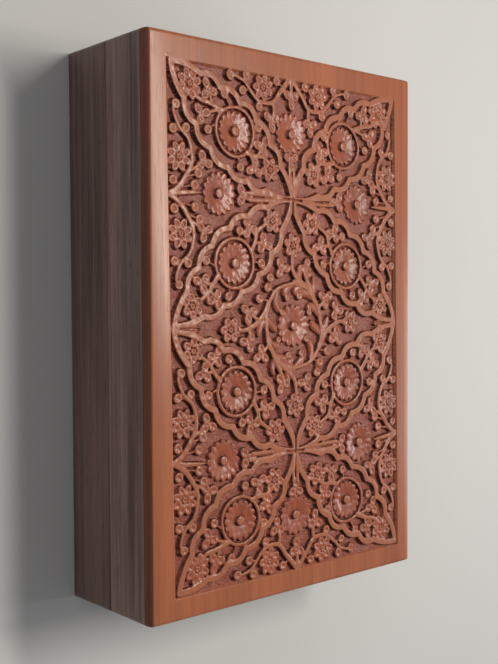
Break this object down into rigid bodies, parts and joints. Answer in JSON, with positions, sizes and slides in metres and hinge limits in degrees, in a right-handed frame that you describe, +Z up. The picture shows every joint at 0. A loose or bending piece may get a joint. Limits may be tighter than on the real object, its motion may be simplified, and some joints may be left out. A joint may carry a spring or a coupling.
{
  "type": "wooden puzzle box",
  "caption": "Flat hinged hardwood puzzle box with a carved lid, a sliding front that hides the keyhole and a sliding strip underneath that hides the key.",
  "frame": {"origin": "middle of the underside, on the plane the box stands on", "axes": "+X along the length towards the end with the key strip, +Z up through the carved lid, front at -Y and hinges at +Y"},
  "size_m": [0.228, 0.1567, 0.056],
  "materials": {
    "carved_wood": "satin oiled rosewood, hand carved",
    "outer_wood": "satin oiled rosewood, planed",
    "inner_wood": "plain oiled rosewood",
    "brass": "rolled brass, lightly tarnished",
    "key_brass": "cast brass, handled",
    "steel": "drawn steel"
  },
  "bodies": {
    "base": {"base_front_wall": "inner_wood", "base_back_wall": "outer_wood", "base_left_wall": "outer_wood", "base_right_wall": "outer_wood", "base_floor": "inner_wood", "hinge_left_base_leaf": "brass", "hinge_right_base_leaf": "brass", "hinge_left_pin": "steel", "hinge_right_pin": "steel", "lock_plate": "brass", "lock_case": "brass", "lock_key_pin": "brass", "bolt_guide_stud": "brass", "lock_spring": "steel", "keyhole_plate": "brass", "front_stop_pin": "steel", "key_strip_stop_pin": "steel"},
    "lid": {"carved_top_panel": "carved_wood", "lid_front_wall": "outer_wood", "lid_back_wall": "outer_wood", "lid_left_wall": "outer_wood", "lid_right_wall": "outer_wood", "hinge_left_lid_leaf": "brass", "hinge_right_lid_leaf": "brass", "link_plate": "brass"},
    "sliding_front": {"front_slider": "outer_wood"},
    "key_tray": {"key_strip": "inner_wood", "key": "key_brass"},
    "bolt": {"lock_bolt": "brass"}
  },
  "joints": [
    {"name": "lid_hinge", "type": "hinge", "parent": "base", "child": "lid", "pos_m": [0, 0.07845, 0.0281], "axis": [-1, 0, 0], "range_deg": [0, 180]},
    {"name": "front_slide", "type": "slide", "parent": "base", "child": "sliding_front", "axis": [1, 0, 0], "range_m": [0, 0.046]},
    {"name": "key_strip_slide", "type": "slide", "parent": "base", "child": "key_tray", "axis": [1, 0, 0], "range_m": [0, 0.056]},
    {"name": "bolt_throw", "type": "slide", "parent": "base", "child": "bolt", "axis": [1, 0, 0], "range_m": [0, 0.004]}
  ]
}
